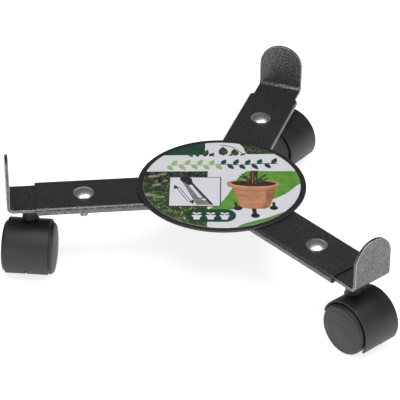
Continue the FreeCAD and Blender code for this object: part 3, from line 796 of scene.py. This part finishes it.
def build_slide(arm):
    """The slide: a flat blank with its slot, its edges rounded, the pin's hole cut, its end folded up."""
    outline, slot, flat_end, bend = slide_blank()
    bm = bmesh.new()
    edges = []
    for loop in (outline, slot):
        verts = [bm.verts.new((x, y, -SLIDE_THICKNESS / 2)) for x, y in loop]
        edges += [bm.edges.new((verts[i - 1], verts[i])) for i in range(len(verts))]
    bmesh.ops.triangle_fill(bm, use_beauty=True, edges=edges)
    bmesh.ops.dissolve_limit(bm, angle_limit=0.01, verts=bm.verts, edges=bm.edges)
    flat = bm.faces[:]
    raised = bmesh.ops.extrude_face_region(bm, geom=flat)
    moved = [v for v in raised["geom"] if isinstance(v, bmesh.types.BMVert)]
    bmesh.ops.translate(bm, verts=moved, vec=(0, 0, SLIDE_THICKNESS))
    bmesh.ops.recalc_face_normals(bm, faces=bm.faces)
    piece = make(f"slide_{arm}_bar", bm, f"slide_{arm}", [PAINT, PAINT_EDGE_WEAR_AND_HIGHLIGHT],
                 replaces=[f"slide_{arm}"])
    # The rounded edges get the lighter paint: partly wear, partly painted highlight.
    worn_and_highlit_edges(piece, SLIDE_WORN_HIGHLIT_EDGE)
    boolean(piece, loose_object(pin_hole_cutter(), "pin_hole"), "DIFFERENCE")
    bm = bmesh.new()
    bm.from_mesh(piece.data)
    steps = 14
    for i in range(steps + 1):
        cut = flat_end + bend * i / steps
        geometry = bm.verts[:] + bm.edges[:] + bm.faces[:]
        bmesh.ops.bisect_plane(bm, geom=geometry, dist=1e-6, plane_co=(cut, 0, 0), plane_no=(1, 0, 0))
    bmesh.ops.triangulate(bm, faces=[f for f in bm.faces if len(f.verts) > 4])
    for vert in bm.verts:
        vert.co = folded(vert.co, flat_end, bend)
    bm.to_mesh(piece.data)
    bm.free()
    piece.data.set_sharp_from_angle(angle=math.radians(35))
    shade_planes_flat(piece.data)
    piece.data.transform(arm_matrix(arm))


def thread_rows(low, high):
    """Rows of the bolt's thread, from the top down, as a true helix that fades out at both ends."""
    steps, per_turn = 40, 10
    rows = []
    count = round((high - low) / THREAD_PITCH * per_turn)
    for i in range(count + 1):
        z = high - (high - low) * i / count
        fade = min(1.0, (high - z) / THREAD_PITCH, 0.35 + (z - low) / THREAD_PITCH)
        row = []
        for k in range(steps):
            a = 2 * math.pi * k / steps
            phase = (z / THREAD_PITCH - a / (2 * math.pi)) % 1.0
            groove = 1 - abs(2 * phase - 1)
            depth = THREAD_DEPTH * min(1.0, 1.25 * groove) * max(fade, 0.0)
            r = BOLT_RADIUS - depth
            row.append(Vector((r * math.cos(a), r * math.sin(a), z)))
        rows.append(row)
    return rows


def build_bolt(arm):
    """The mushroom-head bolt: a domed head with a thin rim, and a threaded shank."""
    place = arm_matrix(arm) @ Matrix.Translation((bolt_place, 0, 0))
    bm = bmesh.new()
    seat = channel_top
    rise = BOLT_HEAD_HEIGHT - BOLT_HEAD_RIM
    sphere = (bolt_head_radius**2 + rise**2) / (2 * rise)
    edge_angle = math.asin(bolt_head_radius / sphere)
    centre = seat + BOLT_HEAD_HEIGHT - sphere
    rim = bolt_head_radius
    rim_top = seat + BOLT_HEAD_RIM - 0.15 * MM
    profile = [(0, seat), (rim - 0.2 * MM, seat), (rim, seat + 0.15 * MM), (rim, rim_top)]
    for i in range(25):
        a = (edge_angle - 0.012) * (1 - i / 24)
        profile.append((sphere * math.sin(a), centre + sphere * math.cos(a)))
    lathe(bm, profile, steps=96)
    make(f"clamp_bolt_{arm}_head", bm, "frame", [ZINC], place,
         replaces=[f"clamp_bolt_{arm}"])
    bm = bmesh.new()
    tip = bolt_low.z
    rows = thread_rows(tip + 0.6 * MM, slide_bottom)
    top = [Vector((v.x, v.y, seat + 0.2 * MM)) for v in rows[0]]
    end = [Vector((v.x * 0.82, v.y * 0.82, tip)) for v in rows[-1]]
    verts = grid(bm, [top] + rows + [end], closed_u=True)
    bm.faces.new(verts[0])
    bm.faces.new(verts[-1])
    make(f"clamp_bolt_{arm}_shank", bm, "frame", [ZINC], place, sharp=60)


def hex_point(angle, flats):
    """The distance from the middle to a hexagon's side in that direction."""
    return flats / math.cos((angle + math.pi / 6) % (math.pi / 3) - math.pi / 6)


def build_nut(arm):
    """The hexagon nut, with turned bevels on both faces and a countersunk thread."""
    low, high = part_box(f"clamp_nut_{arm}")
    place = arm_matrix(arm) @ Matrix.Translation((bolt_place, 0, 0))
    flats = 5.0 * MM
    corner = flats / math.cos(math.pi / 6)
    bore = BOLT_RADIUS + 0.03 * MM
    steps = 96
    levels = [(0.0, 1.0), (0.25, 0.5), (0.5, 0.0)]
    rows = []

    def ring(radius_at, height):
        angles = [2 * math.pi * k / steps for k in range(steps)]
        return [Vector((radius_at(a) * math.cos(a), radius_at(a) * math.sin(a), height)) for a in angles]

    rows.append(ring(lambda a: bore + 0.5 * MM, low.z))
    for drop, share in levels:
        limit = corner - share * (corner - flats * 0.97)
        rows.append(ring(lambda a, m=limit: min(hex_point(a, flats), m), low.z + drop * MM))
    for drop, share in reversed(levels):
        limit = corner - share * (corner - flats * 0.97)
        rows.append(ring(lambda a, m=limit: min(hex_point(a, flats), m), high.z - drop * MM))
    rows.append(ring(lambda a: bore + 0.5 * MM, high.z))
    rows.append(ring(lambda a: bore, high.z - 0.5 * MM))
    rows.append(ring(lambda a: bore, low.z + 0.5 * MM))
    bm = bmesh.new()
    grid(bm, rows, closed_u=True, closed_v=True)
    make(f"clamp_nut_{arm}_hex", bm, "frame", [ZINC], place,
         replaces=[f"clamp_nut_{arm}"], sharp=28)


def build_washer(arm):
    """The washer, a flat ring with broken edges."""
    low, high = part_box(f"clamp_washer_{arm}")
    outer, inner, e = 6.25 * MM, 3.2 * MM, 0.2 * MM
    profile = [(inner, low.z + e), (inner + e, low.z), (outer - e, low.z), (outer, low.z + e),
               (outer, high.z - e), (outer - e, high.z), (inner + e, high.z), (inner, high.z - e),
               (inner, low.z + e)]
    bm = bmesh.new()
    lathe(bm, profile)
    place = arm_matrix(arm) @ Matrix.Translation((bolt_place, 0, 0))
    make(f"clamp_washer_{arm}_ring", bm, "frame", [ZINC], place,
         replaces=[f"clamp_washer_{arm}"])


# Castors

def build_pin(arm):
    """The castor's post: a flush head in the slide, a collar below it, and the hood's stem."""
    low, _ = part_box(f"castor_pin_{arm}")
    head = PIN_HEAD_RADIUS - 0.02 * MM
    collar_low = slide_bottom - 1.5 * MM
    top = slide_top - 0.02 * MM
    seat = slide_bottom - 0.01 * MM
    profile = [(0, low.z), (2.7 * MM, low.z), (3.5 * MM, low.z + 0.8 * MM), (3.5 * MM, collar_low),
               (5.8 * MM, collar_low), (6.0 * MM, collar_low + 0.2 * MM), (6.0 * MM, seat),
               (head, seat), (head, top - 0.04 * MM), (head - 0.04 * MM, top), (0, top)]
    bm = bmesh.new()
    lathe(bm, profile, steps=48)
    for face in bm.faces:
        face.material_index = 0 if face.calc_center_median().z > collar_low - 0.1 * MM else 1
    place = arm_matrix(arm) @ Matrix.Translation((stem_place, 0, 0))
    make(f"castor_pin_{arm}_post", bm, f"slide_{arm}", [PAINT, STEEL], place,
         replaces=[f"castor_pin_{arm}"])


def hood_point(radius, angle, y):
    """A point of the hood, whose cover stands a little further back than the wheels."""
    middle = castor_trail + HOOD_SHIFT
    return Vector((middle + radius * math.cos(angle), y, axle_height + radius * math.sin(angle)))


def hood_cover():
    """The curved cover: a strip with rounded sides, swept round the axle."""
    bm = bmesh.new()
    w, r, t = HOOD_HALF_WIDTH, HOOD_RADIUS, HOOD_WALL
    e = 0.55 * MM
    q = math.pi / 2
    inside = 0.7 * e
    section = arc((r - e, w - e), e, 0, q, 5)
    section += arc((r - t + inside, w - inside), inside, q, 2 * q, 4)
    section += arc((r - t + inside, -w + inside), inside, 2 * q, 3 * q, 4)
    section += arc((r - e, -w + e), e, 3 * q, 4 * q, 5)
    steps = 72
    rows = []
    for i in range(steps + 1):
        angle = HOOD_BACK + (HOOD_FRONT - HOOD_BACK) * i / steps
        rows.append([hood_point(radius, angle, y) for radius, y in section])
    verts = grid(bm, rows, closed_u=True)
    bm.faces.new(verts[0])
    bm.faces.new(verts[-1])
    return bm


def hood_web():
    """The flat web between the wheels, a circle's segment below the cover."""
    bm = bmesh.new()
    outer = HOOD_RADIUS - 0.4 * MM
    steps = 60
    angles = [HOOD_BACK + (WEB_FRONT - HOOD_BACK) * i / steps for i in range(steps + 1)]
    rows = [[hood_point(outer, a, y) for a in angles] for y in (-WEB_HALF_WIDTH, WEB_HALF_WIDTH)]
    verts = grid(bm, rows, closed_u=True)
    bm.faces.new(verts[0])
    bm.faces.new(verts[1])
    return bm


def hood_neck():
    """The neck round the stem, flared where it meets the cover."""
    bm = bmesh.new()
    meet = axle_height + HOOD_RADIUS
    foot, foot_low = NECK_RADIUS + NECK_FLARE, meet - 2.4 * MM
    edge, bore_depth = 0.4 * MM, 3 * MM
    profile = [(0, axle_height + 2 * MM), (foot, axle_height + 2 * MM), (foot, foot_low)]
    profile += [(foot - NECK_FLARE * x, foot_low + z * MM) for x, z in (
        (0.41, 0.8), (0.68, 1.5), (0.89, 2.4), (1.0, 3.5))]
    profile += [(NECK_RADIUS, hood_top - edge), (NECK_RADIUS - edge, hood_top), (STEM_BORE, hood_top)]
    profile += [(STEM_BORE, hood_top - bore_depth), (0, hood_top - bore_depth)]
    lathe(bm, profile, steps=64)
    return bm


def notch_cutter():
    """The thin block that cuts the slit; its faces carry a second material index, a near-black plastic
    that is painted shade inside the slit.
    """
    bm = bmesh.new()
    bmesh.ops.create_cube(bm, size=1.0)
    height = 2 * HOOD_RADIUS * math.sin(NOTCH_ANGLE)
    bmesh.ops.scale(bm, vec=(2 * NOTCH_DEPTH, 2 * NOTCH_HALF_WIDTH, height), verts=bm.verts)
    turn = Matrix.Rotation(-HOOD_BACK - NOTCH_ANGLE / 2, 4, "Y")
    bm.transform(Matrix.Translation(hood_point(HOOD_RADIUS, HOOD_BACK, 0)) @ turn)
    for face in bm.faces:
        face.material_index = 1
    return bm


def build_hood(arm):
    """The moulded hood: cover, web and neck in one, with the slit in its trailing edge."""
    piece = make(f"castor_hood_{arm}_moulding", hood_cover(), f"castor_{arm}",
                 [HOOD_PLASTIC, SLIT_PAINTED_SHADE], replaces=[f"castor_hood_{arm}"])
    boolean(piece, loose_object(hood_web(), "web"), "UNION")
    boolean(piece, loose_object(hood_neck(), "neck"), "UNION")
    # The slit's cut faces take the near-black material: painted shade.
    notch = loose_object(notch_cutter(), "notch")
    for material in (HOOD_PLASTIC, SLIT_PAINTED_SHADE):
        notch.data.materials.append(material)
    boolean(piece, notch, "DIFFERENCE")
    piece.data.set_sharp_from_angle(angle=math.radians(30))
    shade_planes_flat(piece.data)
    piece.data.transform(castor_matrix(arm))


def wheel_profile():
    """(radius, distance out) from the hub's bore, round the cup and tread, to the face's middle."""
    r, inner, outer = wheel_radius, WHEEL_INNER_FACE, WHEEL_OUTER_FACE
    wall, bore, hub = 2.6 * MM, 2.55 * MM, 5.5 * MM
    blind = outer - 3.1 * MM
    e, shoulder = 0.4 * MM, WHEEL_SHOULDER
    face = outer - 0.9 * MM
    profile = [(0, blind), (bore, blind), (bore, inner + e), (bore + e, inner), (hub - e, inner)]
    profile += [(hub, inner + e)]
    profile += [(hub, blind - 0.8 * MM), (hub + 0.8 * MM, blind), (r - wall - 0.8 * MM, blind)]
    profile += [(r - wall, blind - 0.8 * MM), (r - wall, inner + e), (r - wall + e, inner)]
    profile += [(r - e, inner), (r, inner + e), (r, inner + 3 * MM), (r, face - shoulder - 1 * MM)]
    profile += arc((r - shoulder, face - shoulder), shoulder, 0, math.radians(84), 10)
    return profile + face_profile(face, outer)


def face_profile(face, outer):
    """The crowned outer face: a shallow ring groove near the edge, and a faint button in the middle."""
    start = wheel_radius - WHEEL_SHOULDER
    points = []
    for radius, step in ((16.9, 0.0), (16.5, -0.16), (16.1, -0.16), (15.7, 0.02), (13, 0.02), (10, 0.02),
                         (7.2, 0.02), (6.9, -0.06), (6.6, 0.04), (4, 0.06), (2, 0.06)):
        crown = (outer - face) * (1 - (radius * MM / start)**2)
        points.append((radius * MM, face + crown + step * MM))
    return points + [(0, outer)]


def build_wheel(arm, side, sign):
    """One wheel of a castor, turned to its side of the hood."""
    bm = bmesh.new()
    profile = [(radius, sign * out) for radius, out in wheel_profile()]
    lathe(bm, profile, axis="Y", centre=Vector((castor_trail, 0, axle_height)), steps=128)
    make(f"castor_wheel_{arm}_{side}_moulding", bm, f"wheel_{arm}_{side}",
         [WHEEL_PLASTIC], castor_matrix(arm), replaces=[f"castor_wheel_{arm}_{side}"], sharp=40)


def finish_cad_nodes():
    """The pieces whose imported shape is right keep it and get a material."""
    for arm in ARMS:
        for node in (f"castor_clip_{arm}", f"castor_axle_{arm}"):
            mesh = frame["nodes"][node].data
            mesh.materials.clear()
            mesh.materials.append(STEEL)


# Scene

def look_at(obj, target, roll=0.0):
    """Turns a camera or light to face a point, rolled about its own axis."""
    direction = target - obj.location
    obj.rotation_mode = "QUATERNION"
    turn = Matrix.Rotation(roll, 3, "Z").to_quaternion()
    obj.rotation_quaternion = direction.to_track_quat("-Z", "Y") @ turn


def add_camera():
    """A long lens from a little above, close to the front."""
    azimuth, elevation, roll = math.radians(-7.37), math.radians(32.7), math.radians(1.01)
    distance = 1.816
    target = Vector((0, 0, channel_top))
    back = Vector((math.sin(azimuth) * math.cos(elevation), -math.cos(azimuth) * math.cos(elevation),
                   math.sin(elevation)))
    data = bpy.data.cameras.new("camera")
    data.lens = 212.8
    data.sensor_width = 36.0
    data.shift_x, data.shift_y = -0.0544, -0.0352
    camera = bpy.data.objects.new("camera", data)
    bpy.context.scene.collection.objects.link(camera)
    camera.location = target + back * distance
    look_at(camera, target, roll)
    bpy.context.scene.camera = camera


def add_area(name, place, size, power):
    """A rectangular light that faces the middle of the object."""
    data = bpy.data.lights.new(name, "AREA")
    data.shape = "RECTANGLE"
    data.size, data.size_y = size
    data.energy = power
    light = bpy.data.objects.new(name, data)
    bpy.context.scene.collection.objects.link(light)
    light.location = place
    look_at(light, Vector((0, 0, 0)))


def add_lights():
    """A broad box overhead lights the label and bolts, two low boxes in front the upright faces."""
    add_area("overhead", place=(0.05, -0.30, 1.17), size=(1.30, 1.00), power=12)
    add_area("right_fill", place=(1.10, -1.55, 0.40), size=(1.2, 0.8), power=8)
    add_area("left_fill", place=(-1.20, -1.45, 0.32), size=(0.8, 0.5), power=7)


def add_world():
    """A dark room: only the floor and the lights are bright."""
    world = bpy.data.worlds.new("studio")
    world.use_nodes = True
    background = world.node_tree.nodes["Background"]
    background.inputs["Color"].default_value = (0.15, 0.15, 0.155, 1)
    background.inputs["Strength"].default_value = 1.0
    bpy.context.scene.world = world


def add_floor():
    """A white floor that glows a little, like a light table, so that it stays pale under the object."""
    reach = 6.0
    corners = ((-reach, -reach), (reach, -reach), (reach, reach), (-reach, reach))
    bm = bmesh.new()
    bm.faces.new([bm.verts.new((x, y, cad_low.z)) for x, y in corners])
    mesh = bpy.data.meshes.new("floor")
    bm.to_mesh(mesh)
    bm.free()
    n = Nodes("floor_white")
    n.shader.inputs["Emission Color"].default_value = (1.0, 1.0, 1.0, 1.0)
    n.shader.inputs["Emission Strength"].default_value = 0.72
    mesh.materials.append(n.finish(n.grey(n.noise(3.0, 2.0), 0.90, 0.93), roughness=0.7))
    floor = bpy.data.objects.new("floor", mesh)
    bpy.context.scene.collection.objects.link(floor)


build_disc()
build_label()
build_welds()
for arm_name in ARMS:
    build_channel(arm_name)
    build_slide(arm_name)
    build_bolt(arm_name)
    build_nut(arm_name)
    build_washer(arm_name)
    build_pin(arm_name)
    build_hood(arm_name)
    build_wheel(arm_name, "a", 1)
    build_wheel(arm_name, "b", -1)
finish_cad_nodes()
add_camera()
add_lights()
add_world()
add_floor()
bpy.context.scene.view_settings.view_transform = "Standard"
